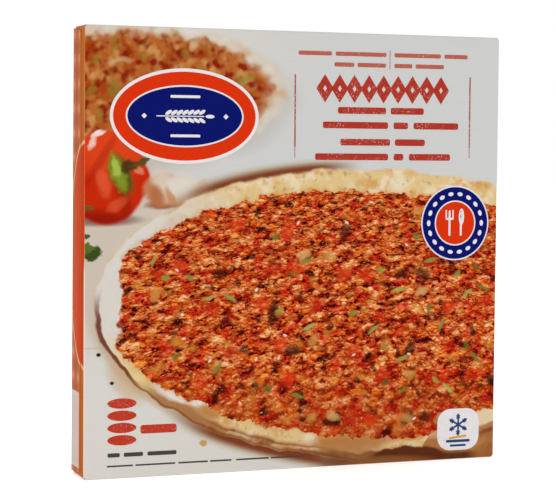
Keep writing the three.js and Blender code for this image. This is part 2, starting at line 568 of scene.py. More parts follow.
def lay_far_bread(art, centre=(-83.2, 186), size=1.0):
    """A second bread behind the label, well out of focus, its floury rim fading into the table."""
    soft = art.wobble(16 * size, 3.0 * size, seed=5)
    below = (centre[0] + 1.2 * size, centre[1] - 4 * size)
    art.lay("#A8988A", art.spot(below, (77 * size, 33 * size), edge=0.12, flat=soft), 0.35)
    rim = art.within(art.reach(centre, (74 * size, 31.5 * size), flat=soft), edge=0.07)
    art.lay("#D9CEBC", rim)
    art.clouds((
        ("#CC9F68", 11, 1.0, 6, 0.46, 0.75, 0.95),
        ("#E0DCD4", 13, 1.0, 7, 0.44, 0.66, 0.90),
    ), rim, size)
    ragged = art.wobble(8 * size, 4.0 * size, seed=8, detail=1.5)
    topping = art.spot(centre, (66 * size, 26.5 * size), edge=0.08, flat=ragged)
    art.lay("#C7904F", art.spot(centre, (68 * size, 28 * size), edge=0.12, flat=ragged), 0.7)
    art.lay("#B8662C", topping)
    art.clouds((
        ("#A03C04", 11, 2.0, 9, 0.40, 0.66, 0.90),
        ("#D09A58", 7, 1.0, 10, 0.46, 0.80, 0.85),
        ("#861802", 5, 1.0, 11, 0.42, 0.76, 0.95),
        ("#DCC090", 8, 0.0, 12, 0.72, 0.92, 0.70),
        ("#8C7C2C", 7, 0.0, 14, 0.60, 0.84, 0.60),
    ), topping, size)


def lay_pepper(art):
    """A ripe red pepper with its stalk, cut by the panel's edge."""
    art.lay("#7A4630", art.spot((-101, 124), (17, 2.6), edge=0.5), 0.8)
    body = art.node("Math", (
        art.spot((-98.2, 144), (20, 22), edge=0.06),
        art.spot((-86, 143), (9.5, 10.5), edge=0.1),
    ), operation="MAXIMUM")
    art.lay("#C62802", body)
    art.spots((
        ((-96, 158), (16, 10), 0, 0.7, "#DC4216", 1.0),
        ((-108, 121), (26, 6), 0, 0.7, "#8C1000", 0.9),
        ((-89.5, 134), (2.4, 12), 14, 0.8, "#9A1602", 0.7),
        ((-101, 152), (1.6, 12), -32, 0.8, "#9A1602", 0.4),
    ), mask=body)
    # Glints on the skin
    art.spots((
        ((-102.0, 165.0), (2.8, 1.0), 20, 0.8, "#F8E4DC", 0.9),
        ((-105.2, 160.6), (1.2, 2.8), -24, 0.8, "#F6CFC2", 0.9),
        ((-99.4, 141.0), (2.4, 4.8), 14, 0.8, "#EA6840", 0.55),
        ((-92.8, 131.2), (4.0, 2.0), 30, 0.8, "#E8643C", 0.45),
        ((-82, 147.6), (2.2, 1.2), -30, 0.8, "#EE9070", 0.65),
    ), flat=art.wobble(4, 1.2, seed=13))
    # The green cap and the stalk
    art.spots((
        ((-91.0, 145.6), (9.6, 4.6), -66, 0.4, "#5A5216", 1.0),
        ((-92.6, 146.4), (8.6, 3.2), -70, 0.4, "#7E9024", 1.0),
        ((-93.6, 149.0), (5.0, 1.7), -74, 0.4, "#A8B84A", 1.0),
        ((-86.6, 149.4), (4.2, 2.6), 20, 0.4, "#4A3612", 1.0),
        ((-81.6, 151.4), (5.0, 1.5), 24, 0.4, "#5C4A1C", 1.0),
    ), flat=art.wobble(4, 1.8, seed=11))


def lay_garlic(art):
    """A head of garlic, out of focus."""
    art.spots((
        ((-68, 131.4), (10, 2.2), 4, 0.4, "#9A5426", 0.9),
        ((-70.5, 138.4), (9.5, 7.4), 0, 0.2, "#C0845A", 0.9),
        ((-62.5, 138.0), (9.4, 6.6), 6, 0.25, "#D6B898", 0.9),
        ((-52.5, 139.4), (5.0, 1.6), 38, 0.5, "#D6BCA2", 0.9),
        ((-70.0, 142.2), (5.2, 3.6), -30, 0.6, "#DCCAB8", 0.9),
        ((-61.0, 139.8), (6.4, 4.6), 12, 0.6, "#E0D8CE", 0.9),
        ((-73.5, 135.4), (3.0, 4.2), 20, 0.7, "#B46A40", 0.9),
        ((-66.4, 134.6), (1.4, 4.2), 24, 0.7, "#C88C60", 0.9),
    ), flat=art.wobble(6, 1.2, seed=14))


def lay_parsley(art):
    """A few leaves of parsley at the panel's edge."""
    art.spots((
        ((-106, 108.5), (5.5, 3.6), 0, 0.2, "#3C4A1E", 1.0),
        ((-107.5, 110.5), (3.6, 2.4), 0, 0.2, "#56702A", 1.0),
        ((-107.6, 116.2), (2.0, 1.0), 0, 0.2, "#4A5A26", 1.0),
        ((-107.4, 129.4), (2.6, 0.9), 0, 0.2, "#4C5F24", 1.0),
    ), flat=art.wobble(2.5, 1.8, seed=12))


def lay_peppercorns(art):
    """Three peppercorns and a crumb of bread on the table."""
    for centre, size in (((-101.8, 59.8), 1.1), ((-95.2, 46), 1.0), ((-97, 102), 0.7)):
        art.lay("#2E2622", art.spot(centre, (size, 0.8 * size), edge=0.3))
    art.lay("#C99B5C", art.spot((-49.2, 15), (1.9, 1.5), edge=0.3, flat=art.wobble(1.5, 0.4)))


# The bread's outlines, as ellipses on the front panel in millimetres and degrees: the whole bread,
# its floury lip, the edge that rolls up at the lower right, and the topping
RIM = {"centre": (50.8, 74.3), "radii": (155.1, 73.4), "angle": -3.9}
LIP = {"centre": (51.6, 76.8), "radii": (154.4, 71.2), "angle": -3.7}
ROLL = {"centre": (113, 8.5), "radii": (47, 18.5), "angle": 8}
TOPPING = {"centre": (47.4, 75.3), "radii": (148.0, 62.4), "angle": -3.5}


def lay_crust_shadow(art):
    """The shadow under the bread, golden where light comes through its rim."""
    u, v = art.flat
    below = art.fade(v, 92, 60)
    art.lay("#B8966C", art.times(below, art.spot((49.5, 73), (156.5, 73.8), -3.9, edge=0.02)), 0.6)
    outside = art.reach(**RIM)
    lower_left = art.times(art.fade(u, -72, -40), art.fade(u, 36, 6))
    art.lay("#B09468", art.times(lower_left, art.fade(outside, 1.20, 1.08)), 0.85)
    art.lay("#7C3418", art.times(lower_left, art.fade(outside, 1.14, 1.05)), 0.95)
    art.spots((
        ((-88, 46), (9, 5), -48, 0.8, "#C8A472", 0.6),
        ((36, 4), (18, 6), 0, 0.6, "#8E5A30", 0.9),
        ((88, -2), (70, 13), 0, 0.25, "#4E2414", 1.0),
    ))


def lay_crust(art):
    """The bread's rim: a floury, blistered lip, the golden side below it, and its rolled edge."""
    u, v = art.flat
    uneven = art.wobble(14, 2.2, seed=13, detail=3)
    rim_reach = art.reach(**RIM, flat=uneven)
    rim = art.within(rim_reach, edge=0.005)
    art.lay("#C68C50", rim)
    art.clouds((
        ("#E2C492", 13, 2.0, 14, 0.40, 0.62, 0.9),
        ("#92542A", 8, 3.0, 15, 0.52, 0.72, 0.8),
    ), rim)
    low = art.times(rim, art.fade(rim_reach, 0.93, 0.99), art.spot((30, 8), (110, 44), edge=0.3))
    art.lay("#84441E", low, 0.8)
    lip_reach = art.reach(**LIP, flat=uneven)
    under_lip = art.times(rim, art.fade(lip_reach, 1.06, 1.03), art.fade(v, 40, 30))
    art.lay("#7A3A1A", under_lip, 0.7)
    art.clouds((
        ("#E0C28A", 20, 1.0, 12, 0.0, 0.1, 1.0),
        ("#EBDAB8", 11, 2.0, 16, 0.45, 0.70, 0.9),
        ("#D29C52", 9, 3.0, 17, 0.50, 0.72, 0.85),
        ("#9A6438", 3.6, 3.0, 18, 0.60, 0.76, 0.45),
    ), art.within(lip_reach, edge=0.016))
    # Floury patches, golden ones, and toasted folds
    art.spots((
        ((-112, 100), (66, 50), 0, 0.5, "#DAD5CE", 0.92),
        ((-72, 46), (24, 9), -38, 0.5, "#E8CB88", 0.85),
        ((-62, 30.5), (19, 6.5), -34, 0.5, "#A0663A", 0.85),
        ((-59, 38.4), (15, 3.4), -20, 0.4, "#E9E4DC", 0.95),
        ((-46, 30), (5, 2.6), -20, 0.5, "#B87A34", 0.9),
        ((44, 14), (34, 3.4), 4, 0.6, "#B8622E", 0.65),
        ((29, 10), (17, 5), 0, 0.4, "#B27A44", 0.85),
        ((24, 4), (26, 2.6), -3, 0.5, "#6E3A1C", 0.7),
    ), rim, uneven)
    left = art.spot((-97, 62), (18, 22), edge=0.4)
    art.lay("#6A2A1A", art.times(rim, left, art.fade(rim_reach, 0.962, 0.975)), 0.95)
    left = art.spot((-70, 40), (46, 26), -38, edge=0.4)
    art.lay("#7E4222", art.times(rim, left, art.fade(rim_reach, 0.970, 0.995)), 0.85)

    roll_reach = art.reach(**ROLL, flat=uneven)
    roll = art.within(roll_reach, edge=0.01)
    art.lay("#AE7240", roll)
    art.clouds((("#CE9658", 10, 2.0, 15, 0.45, 0.7, 0.8),), roll)
    art.lay("#8A4E28", art.times(roll, art.fade(u, 98, 106)), 0.6)
    under = art.times(art.fade(v, 5.5, 2.5), art.fade(u, 104, 92))
    art.lay("#4A2012", art.times(roll, under), 0.9)
    upper = art.times(roll, art.fade(v, 10, 15))
    for ink, low, high, strength in (
        ("#842F16", 0.08, 0.15, 0.8),
        ("#B47E50", 0.17, 0.25, 0.9),
        ("#E2CDA6", 0.30, 0.42, 1.0),
    ):
        art.lay(ink, art.times(upper, art.fade(roll_reach, low, high)), strength)
    turned_up = art.times(upper, art.fade(u, 92, 80), art.fade(roll_reach, 0.48, 0.60))
    art.lay("#C87C48", turned_up, 0.7)
    art.lay("#5E2C16", art.spot((60, 2.6), (21, 5.2), 0, edge=0.12, flat=uneven))
    art.lay("#8E5A30", art.spot((46, -1), (26, 4.2), 0, edge=0.4), 0.9)


CHUNK_SIZE = 3.6  # the larger crumbs of the topping, in millimetres
GRAIN_SIZE = 1.8  # the smaller ones
BASE_NEARNESS = 1.263  # size of the topping's pattern at the base, against that at its middle
LEAN = -0.0037  # how that size changes with each millimetre upwards
# The topping's colours, from its dark gaps to its lit crumbs, each with its place on the ramp
MINCE_STOPS = (
    (0.0, "#380200"), (0.14, "#6C1002"), (0.30, "#9A2406"), (0.46, "#B84814"),
    (0.60, "#CE682A"), (0.75, "#DC8644"), (0.88, "#E8A064"), (1.0, "#F6C490"),
)


def lie_back(art):
    """The flat coordinates of a plate that leans away: what lies higher up is further off, so that
    patterns get finer there."""
    nearness = art.node("Math", (art.flat[1], LEAN, BASE_NEARNESS), operation="MULTIPLY_ADD")
    distance = art.node("Math", (1.0, nearness), operation="DIVIDE")
    leaning = []
    # Foreshortened upwards, and measured from the pattern's middle
    for place, scale, start in zip(art.flat, (1.0, 1.3), (-50.0, -94.0)):
        place = art.node("Math", (place, scale, start), operation="MULTIPLY_ADD")
        leaning.append(art.times(place, distance))
    return tuple(leaning)


def crumbs(art, flat, size, output):
    """Round crumbs of a given size: how far a point lies from its crumb's middle, or a colour that
    each crumb has drawn."""
    cells = {"Vector": art.point(flat), "Scale": 1 / size}
    return art.node("TexVoronoi", cells, output, voronoi_dimensions="2D", feature="F1")


def mince(art, flat):
    """How high the minced topping stands: heaps, two sizes of crumb and a fine grit."""
    heaps = art.patches(9.0, 3.0, 0.6, flat=flat, seed=24)
    high = art.node("Math", (heaps, 1.3), operation="MULTIPLY")
    for detail, share in (
        (crumbs(art, flat, CHUNK_SIZE, "Distance"), -0.46),
        (crumbs(art, flat, GRAIN_SIZE, "Distance"), -0.30),
        (art.patches(1.2, 2.0, 0.6, flat=flat, seed=25), 0.28),
    ):
        high = art.node("Math", (detail, share, high), operation="MULTIPLY_ADD")
    return high


def lumps(art, flat):
    """How high the heaps stand, without their crumbs."""
    return art.patches(7.0, 1.0, flat=flat, seed=26)


def beside(art, flat, across, up):
    """The flat coordinates of a point a little way off."""
    return tuple(art.node("Math", pair, operation="ADD") for pair in zip(flat, (across, up)))


def lay_topping(art):
    """Minced topping: heaps of crumbs with dark gaps between them, finer towards the far side."""
    far = lie_back(art)
    crumbled = art.wobble(3.4, 1.3, seed=22, detail=2, flat=far)
    height = mince(art, crumbled)
    # What stands higher than its neighbour on the light's side is lit
    neighbour = mince(art, beside(art, crumbled, 0.0, 0.5))
    lit = art.node("Math", (height, neighbour), operation="SUBTRACT")
    neighbour = lumps(art, beside(art, far, -0.8, 2.4))
    raised = art.node("Math", (lumps(art, far), neighbour), operation="SUBTRACT")
    own = art.node("SeparateColor", (crumbs(art, crumbled, CHUNK_SIZE, "Color"),), None).outputs
    gap = art.fade(art.patches(4.4, 2.0, 0.5, flat=far, seed=27), 0.42, 0.28)
    tone = height
    for part, share in ((own[0], 0.16), (lit, 1.6), (raised, 0.9), (gap, -0.6)):
        tone = art.node("Math", (part, share, tone), operation="MULTIPLY_ADD")
    ramp = art.node("ValToRGB", (art.fade(tone, -0.14, 1.08, soft=False),), None)
    colours = ramp.color_ramp.elements
    while len(colours) < len(MINCE_STOPS):
        colours.new(0.5)
    for element, (place, ink) in zip(colours, MINCE_STOPS):
        element.position = place
        element.color = rgba(ink)

    ragged = art.wobble(2.2, 1.6, seed=21, detail=3, flat=art.wobble(11, 4.4, seed=20))
    reach = art.reach(**TOPPING, flat=ragged)
    clear_of_roll = art.fade(art.reach(**ROLL, flat=ragged), 0.98, 1.04)
    near = art.times(art.fade(ragged[0], -92, -90), clear_of_roll)
    art.lay("#C98A3C", art.times(near, art.within(reach, 1.01, 0.025)), 0.55)
    topping = art.times(near, art.within(reach, edge=0.004))
    art.lay(ramp.outputs[0], topping)
    art.lay("#B44C16", art.times(topping, art.fade(art.flat[1], 60, 14)), 0.5)
    # Red, golden, oily and charred parts, each some millimetres across
    for ink, size, detail, low, high, strength, blend in (
        ("#F0502C", 9, 2.0, 0.52, 0.64, 0.80, "MULTIPLY"),
        ("#FFCC50", 7, 2.0, 0.52, 0.64, 0.90, "MULTIPLY"),
        ("#D08A34", 10, 1.0, 0.60, 0.80, 0.45, "MIX"),
        ("#5A1C12", 8, 1.0, 0.60, 0.76, 0.90, "MULTIPLY"),
    ):
        hue = art.fade(art.patches(size, detail, 0.55, flat=far, seed=size + 30), low, high)
        art.lay(ink, art.times(topping, hue), strength, blend)
    art.lay("#F05838", art.times(topping, art.fade(own[1], 0.86, 0.9)), 0.7, "MULTIPLY")
    glint = art.fade(art.patches(0.8, 1.0, flat=crumbled, seed=28), 0.64, 0.72)
    art.lay("#F2B98E", art.times(topping, glint, art.fade(lit, 0.0, 0.15)), 0.7)


STREWN_TURNS = (-1.0, 1.4)  # the least and greatest turn of what is strewn, in radians


def strewn(art, flat, apart, chance, radii, seed, edge):
    """A mask with one ellipse in some cells of an uneven grid, each turned by its cell's own draw,
    and a draw for its tint. The cells are `apart` millimetres across, and `chance` is the share of
    them that have an ellipse."""
    u, v = flat
    u = art.node("Math", (u, 31.0 * seed), operation="ADD")
    cells = {"Vector": art.point((u, v)), "Scale": 1 / apart}
    cell = art.node("TexVoronoi", cells, None, voronoi_dimensions="2D", feature="F1").outputs
    draw = art.node("SeparateColor", (cell["Color"],), None).outputs
    middle = art.node("SeparateXYZ", (cell["Position"],), None).outputs
    right = art.node("Math", (u, middle[0]), operation="SUBTRACT")
    up = art.node("Math", (v, middle[1]), operation="SUBTRACT")
    least, most = STREWN_TURNS
    angle = art.node("Math", (draw[0], most - least, least), operation="MULTIPLY_ADD")
    cosine = art.node("Math", (angle,), operation="COSINE")
    sine = art.node("Math", (angle,), operation="SINE")
    along = art.node("Math", (right, cosine, art.times(up, sine)), operation="MULTIPLY_ADD")
    across = art.node("Math", (art.times(up, cosine), art.times(right, sine)), operation="SUBTRACT")
    reach = 0.0
    for span, radius in ((along, radii[0]), (across, radii[1])):
        share = art.node("Math", (span, radius), operation="DIVIDE")
        reach = art.node("Math", (share, share, reach), operation="MULTIPLY_ADD")
    chosen = art.node("Math", (draw[1], chance), operation="LESS_THAN")
    return art.times(chosen, art.within(reach, edge=edge)), draw[2]


def lay_garnish(art):
    """Strips of green herb, red dice, pale onion and sesame, all within the topping."""
    within = art.times(
        art.spot((47.4, 75.3), (136, 57), -3.5, edge=0.03),
        art.fade(art.reach(**ROLL), 1.0, 1.1),
    )
    limp = art.wobble(3.0, 0.7, seed=40)
    lumpy = art.wobble(2.6, 1.3, seed=41)
    for flat, apart, chance, radii, seed, edge, strength, first, second in (
        (lumpy, 19, 0.2, (3.6, 2.0), 1, 0.7, 0.85, "#2A1408", "#4A0C06"),
        (lumpy, 19, 0.4, (3.8, 2.8), 2, 0.5, 0.65, "#B81E0C", "#DE3A14"),
        (lumpy, 21, 0.2, (2.8, 1.7), 3, 0.8, 0.70, "#C88A2C", "#DDB070"),
        (limp, 17, 0.2, (3.2, 0.8), 4, 0.5, 0.95, "#6A7430", "#A8AE58"),
        (limp, 19, 0.2, (1.8, 1.1), 5, 0.6, 0.85, "#4C5A20", "#98A044"),
        (art.flat, 11, 0.12, (0.9, 0.5), 6, 0.6, 0.85, "#F3D0B0", "#F6E8DC"),
    ):
        mask, draw = strewn(art, flat, apart, chance, radii, seed, edge)
        tint = art.node("Mix", {0: draw, 6: rgba(first), 7: rgba(second)}, 2, data_type="RGBA")
        art.lay(tint, art.times(within, mask), strength)


def lay_fold_highlights(art, middle, half):
    """A painted highlight where the folds catch the light: a thin pale line along a panel's edges,
    stronger in places. A panel is given by its middle and its half sizes."""
    # Painted highlight: how strongly each stretch of fold is lit
    worn = art.fade(art.patches(16, 2.0, seed=50), 0.3, 0.7, to=(0.1, 0.5))
    for place, centre, reach in zip(art.flat, middle, half):
        edge = art.fade(art.off(place, centre), reach - 0.25, reach + 0.1)
        # Lays the painted highlight along the panel's edges
        art.lay("#F0D6C4", art.times(edge, worn))


def serving_picture():
    """Picture of a flatbread on a pale table, offset-printed on the clay coat and varnished: flat
    fields of ink with soft edges, under an even satin sheen."""
    art = Print("offset_printed_serving_picture")
    lay_table(art)
    lay_far_bread(art)
    lay_pepper(art)
    lay_garlic(art)
    lay_parsley(art)
    lay_crust_shadow(art)
    lay_peppercorns(art)
    lay_crust(art)
    lay_topping(art)
    lay_garnish(art)
    return art.varnish()


DIAMOND = (4.9, 5.84)  # half a lattice diamond's width and height, in millimetres


def lay_lattice(art, along, up, middle):
    """Pale and reddish diamonds in turn, on the terracotta ground. One reddish diamond lies at
    `middle`."""
    share = 0.0
    for place, start, half in zip((along, up), middle, DIAMOND):
        place = art.node("Math", (place, start), operation="SUBTRACT")
        place = art.node("Math", (place, half), operation="PINGPONG")
        share = art.node("Math", (place, 1 / half, share), operation="MULTIPLY_ADD")
    art.lay("#AC4E2C", art.fade(share, 0.9, 0.4), 0.8)
    art.lay("#D28C62", art.fade(share, 1.25, 1.7), 0.9)


def end_print(terracotta):
    """The ends' print: an offset field of terracotta with a lattice of pale diamonds, a red bow from
    the front crease, and a bare table, under a matt coat; the bow is painted paler and duller towards
    the back, a painted sheen."""
    art = Print("offset_printed_ends", across=FLAT[1], turn=(-90, 0, 90))
    y, z = art.flat
    art.lay(terracotta)
    lay_lattice(art, y, z, (3.4, 7.3))
    art.lay("#BF661C", art.fade(y, -2.4, -4.4), 0.9)
    bow = art.reach((-11.75, 107), (26.1, 53))
    art.lay("#F0B890", art.within(bow, 1.03, 0.012), 0.9)
    bow = art.within(bow, edge=0.01)
    art.lay("#CB3A02", bow)
    # Painted sheen: the red bow turns paler and duller towards the back
    art.lay("#C0562A", art.times(bow, art.fade(y, -6, 9.5)), 0.95)
    art.lay("#D2C1B8", art.block((4.0, 22.6), (7.4, 18.4), edge=0.15))
    for place in (0.6, 4.6, 8.2):
        art.lay("#B09C94", art.block((place, 22.6), (0.5, 16.5), edge=0.4), 0.5)
    art.shade(art.patches(3, 2.0, seed=51), 0.97, 1.03)
    # Painted highlight along the folds
    lay_fold_highlights(art, (0, 108), (11.4, 107.6))
    # A bright hairline where the front panel's fold catches the light
    art.lay("#FFEADA", art.times(art.fade(y, -10.8, -11.0), art.fade(z, 106, 98)), 0.95)
    return art.varnish(roughness=0.5, level=0.01)


def narrow_print(terracotta):
    """The top and base: the ends' terracotta and lattice run across, with a pale strip."""
    art = Print("offset_printed_top_and_base", up=FLAT[1], turn=(0, 0, 0))
    x, y = art.flat
    art.lay(terracotta)
    lay_lattice(art, y, x, (3.4, 0))
    art.lay("#CB3F06", art.spot((0, -11.75), (62, 17), edge=0.02))
    art.lay("#D2C9C2", art.block((0, 0), (36, 4.6), edge=0.15))
    art.shade(art.patches(3, 2.0, seed=52), 0.97, 1.03)
    art.lay("#CFCBC5", art.fade(y, -10.9, -11.1))
    # Painted highlight along the folds
    lay_fold_highlights(art, (0, 0), (108.3, 11.4))
    return art.varnish(roughness=0.5)


def back_picture(terracotta):
    """The back's print: the pale table again, a terracotta band with its lattice, and a small
    picture of the bread."""
    art = Print("offset_printed_back", turn=(-90, 0, 180))
    x, z = art.flat
    art.lay("#D4D1CB")
    art.shade(art.patches(**PLANK_GRAIN), 0.97, 1.03)
    lay_far_bread(art, centre=(-56, 76), size=0.6)
    # The band is laid as an ink of its own, and then over the rest
    table = art.ink
    art.ink = None
    art.lay(terracotta)
    lay_lattice(art, x, z, (0, 7.3))
    band = art.ink
    art.ink = table
    art.lay(band, art.fade(z, 184.9, 185.1))
    art.lay("#CB3F06", art.block((0, 184), (120, 1.0), edge=0.1))
    # Painted highlight along the folds
    lay_fold_highlights(art, (0, 108), (108.3, 107.6))
    return art.varnish()


# ---------------------------------------------------------------- operators


def properties(context):
    """The sizes and colours that the operators work from."""
    return context.scene.carton_sizes, context.scene.carton_colours


class CARTON_OT_board(bpy.types.Operator):
    """Folds the board: the sleeve, and two lapped flaps at each end"""

    bl_idname = "carton.board"
    bl_label = "Fold the board"

    def execute(self, context):
        sizes, colours = properties(context)
        dust_level = sizes.width - 4 * sizes.board
        inner_level = sizes.width - 2 * sizes.board
        board = add_folded_box("board", dust_level, sizes)
        for side in (-1, 1):
            for name, width, flap_width, hinge in (
                ("inner_flap", inner_level, sizes.inner_flap, -1),
                ("outer_flap", sizes.width, sizes.outer_flap, 1),
            ):
                combine(board, add_flap(name, width, flap_width, hinge, side, sizes), "UNION")
        seam_y = sizes.depth_at_base / 2 - sizes.board
        seam = add_cube(
            "seam",
            (-sizes.width / 2, seam_y - SEAM_WIDTH, sizes.height - SEAM_DEPTH),
            (sizes.width / 2, seam_y, sizes.height + SEAM_DEPTH),
        )
        combine(board, seam, "DIFFERENCE")
        board.data.materials.clear()
        board.data.materials.append(coated_kraft_board(colours.terracotta))
        return {"FINISHED"}


FOLD_COS = math.cos(math.radians(45.5))  # a sheet ends at the middle of each fold
SHEET_DEPTH = 0.5 * MM  # how far a sheet's faces may lie below the panel's outermost plane
END_DEPTH = 0.3 * MM  # and further at the ends, which takes in the inner flap, not the dust flaps
OUTER_COS = 0.3  # a face of the film that turns outwards by more than this carries the print


def peel(board, name, belongs, outwards, axes, sizes):
    """A printed sheet: the board's faces that pass the test, copied and given the film's thickness.
    Its own map keeps most of its room for the outer face, which carries the print."""
    sheet = board.copy()
    sheet.data = board.data.copy()
    sheet.name = name
    bpy.context.scene.collection.objects.link(sheet)
    with editing(sheet):
        pick(sheet, "FACE", lambda face: not belongs(face.calc_center_median(), face.normal))
        bpy.ops.mesh.delete(type="FACE")
    film = sheet.modifiers.new("film", "SOLIDIFY")
    film.thickness = sizes.film
    film.offset = 0.0
    film.use_even_offset = True
    bpy.ops.object.modifier_apply(modifier=film.name)

    # The map's upper part is for the printed face, and a strip below it for all the others
    mesh = sheet.data
    places = [vertex.co for vertex in mesh.vertices]
    low = [min(place[axis] for place in places) for axis in axes]
    high = [max(place[axis] for place in places) for axis in axes]
    printed, plain = (0.04, 1.0), (0.0, 0.03)
    unwrapped = mesh.uv_layers.new(name=BAKE_MAP).data
    for face in mesh.polygons:
        start, stop = printed if face.normal.dot(Vector(outwards)) > OUTER_COS else plain
        for loop in face.loop_indices:
            place = places[mesh.loops[loop].vertex_index]
            across, up = (
                (place[axis] - least) / (most - least)
                for axis, least, most in zip(axes, low, high)
            )
            unwrapped[loop].uv = (across, start + (stop - start) * up)
    return sheet


class CARTON_OT_sheets(bpy.types.Operator):
    """Covers the board with its printed film, one sheet for each panel"""

    bl_idname = "carton.sheets"
    bl_label = "Print the panels"

    def execute(self, context):
        sizes, colours = properties(context)
        board = bpy.data.objects["board"]
        ends = end_print(colours.terracotta)
        narrow = narrow_print(colours.terracotta)
        # Each sheet's outward direction, the two axes of its map, and its print
        sheets = {
            "print_front": ((0, -1, 0), (0, 2), serving_picture()),
            "print_back": ((0, 1, 0), (0, 2), back_picture(colours.terracotta)),
            "print_left": ((-1, 0, 0), (1, 2), ends),
            "print_right": ((1, 0, 0), (1, 2), ends),
            "print_top": ((0, 0, 1), (0, 1), narrow),
            "print_base": ((0, 0, -1), (0, 1), narrow),
        }
        half = Vector((sizes.width / 2 - END_DEPTH, sizes.depth_at_base / 2, sizes.height / 2))
        middle = Vector((0, 0, sizes.height / 2))
        for name, (outwards, axes, material) in sheets.items():
            away = Vector(outwards)
            surface = abs(away.dot(half)) - SHEET_DEPTH

            def belongs(centre, normal):
                return normal.dot(away) > FOLD_COS and (centre - middle).dot(away) > surface

            sheet = peel(board, name, belongs, outwards, axes, sizes)
            finish_piece(sheet, material, sizes)
        finish_piece(board, None, sizes)
        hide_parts("carton")
        return {"FINISHED"}


def words(rows, height):
    """Bars in place of words. Each row is its middle's height, its left end, and then its words'
    lengths with the gaps between them."""
    bars = []
    for up, left, *spans in rows:
        for width, gap in zip(spans[::2], spans[1::2] + [0]):
            bars += add_bars(width, height, 0.3 * height, [(left + width / 2, up)])
            left += width + gap
    return bars


def around(centre, radius, count, start=0.0):
    """Places evenly round a circle, each with the turn that faces outwards."""
    places = []
    for k in range(count):
        turn = start + 360 * k / count
        across, up = math.cos(math.radians(turn)), math.sin(math.radians(turn))
        places.append((centre[0] + radius * across, centre[1] + radius * up, turn))
    return places


class CARTON_OT_label(bpy.types.Operator):
    """Prints the oval label: a white rim, a red field, and an ear of wheat on a navy oval"""

    bl_idname = "carton.label"
    bl_label = "Print the label"

    def execute(self, context):
        sizes, colours = properties(context)
        middle = u, v = (-59.25, 173.6)
        paper = spot_ink("label_white_ink", colours.paper)
        red = spot_ink("label_red_ink", colours.red)
        navy = spot_ink("label_navy_ink", colours.navy)
        for layer, (name, radius_u, radius_v, ink) in enumerate((
            ("label_rim", 37.4, 22.9, paper),
            ("label_field", 35.8, 21.3, red),
            ("label_line", 29.6, 14.9, paper),
            ("label_oval", 28.8, 14.1, navy),
        ), start=1):
            emboss(name, add_discs(radius_u, radius_v, 72, [middle]), layer, ink, sizes)
        grains = [
            (u - 8.4 + 2.8 * k, v + side * (1.7 + 0.05 * k), side * 32)
            for k in range(7) for side in (-1, 1)
        ]
        shapes = add_discs(1.9, 0.85, 16, grains)
        shapes += add_discs(2.3, 0.9, 16, [(u + 12.4, v)])
        shapes += add_bars(24, 0.5, 0.2, [(u - 2.5, v)])
        shapes += add_bars(15, 1.3, 0.5, [(u, v + 9.4), (u, v - 9.4)])
        shapes += add_discs(1.3, 1.3, 4, [(u - 20.5, v), (u + 20.5, v)])
        emboss("label_wheat", shapes, 5, paper, sizes)
        return {"FINISHED"}


class CARTON_OT_wording(bpy.types.Operator):
    """Prints the title band and the bars that stand for words"""

    bl_idname = "carton.wording"
    bl_label = "Print the title and wording"

    def execute(self, context):
        sizes, colours = properties(context)
        brick = spot_ink("title_brick_ink", colours.brick, worn=0.6)
        count, pitch, middle, height = 9, 7.9, 44.45, 188.4
        places = [(middle + (k - (count - 1) / 2) * pitch, height) for k in range(count)]
        emboss("title_lozenges", add_discs(4.6, 7.0, 4, places), 1, brick, sizes)
        pale = spot_ink("title_pale_ink", "#D2CFCA")
        emboss("title_hearts", add_discs(1.0, 1.6, 4, places), 2, pale, sizes)

        shapes = words((
            (177.7, 19.8, 26.0, 2.6, 18.2),
            (170.4, 11.8, 35.2, 3.0, 8.0, 3.0, 25.0),
            (162.0, 21.2, 27.0, 2.6, 16.6),
            (154.7, 7.8, 39.4, 3.0, 5.4, 3.0, 23.0),
        ), 3.3)
        emboss("wording_lines", shapes, 1, brick, sizes)
        rubbed = spot_ink("rules_brick_ink", "#A8483C", worn=1.2)
        shapes = add_bars(0.75, 36, 0.3, [(-2.9, 177), (92.4, 177.5)])
        shapes += add_bars(0.4, 5, 0.15, [(-2.9, 156.4), (92.4, 156.9)])
        emboss("title_rules", shapes, 1, rubbed, sizes)

        small = spot_ink("small_brick_ink", "#B9604E", worn=0.3)
        shapes = words((
            (205.6, -1.2, 17.6, 2.0, 27.4),
            (205.6, 50.2, 25.6, 2.0, 13.0),
            (200.3, 17.8, 10.6, 1.8, 15.4),
            (200.3, 50.2, 9.8, 1.8, 15.8),
        ), 2.1)
        shapes += add_bars(0.4, 9.6, 0.15, [(47.75, 203.2)])
        emboss("small_lines", shapes, 1, small, sizes)
        return {"FINISHED"}


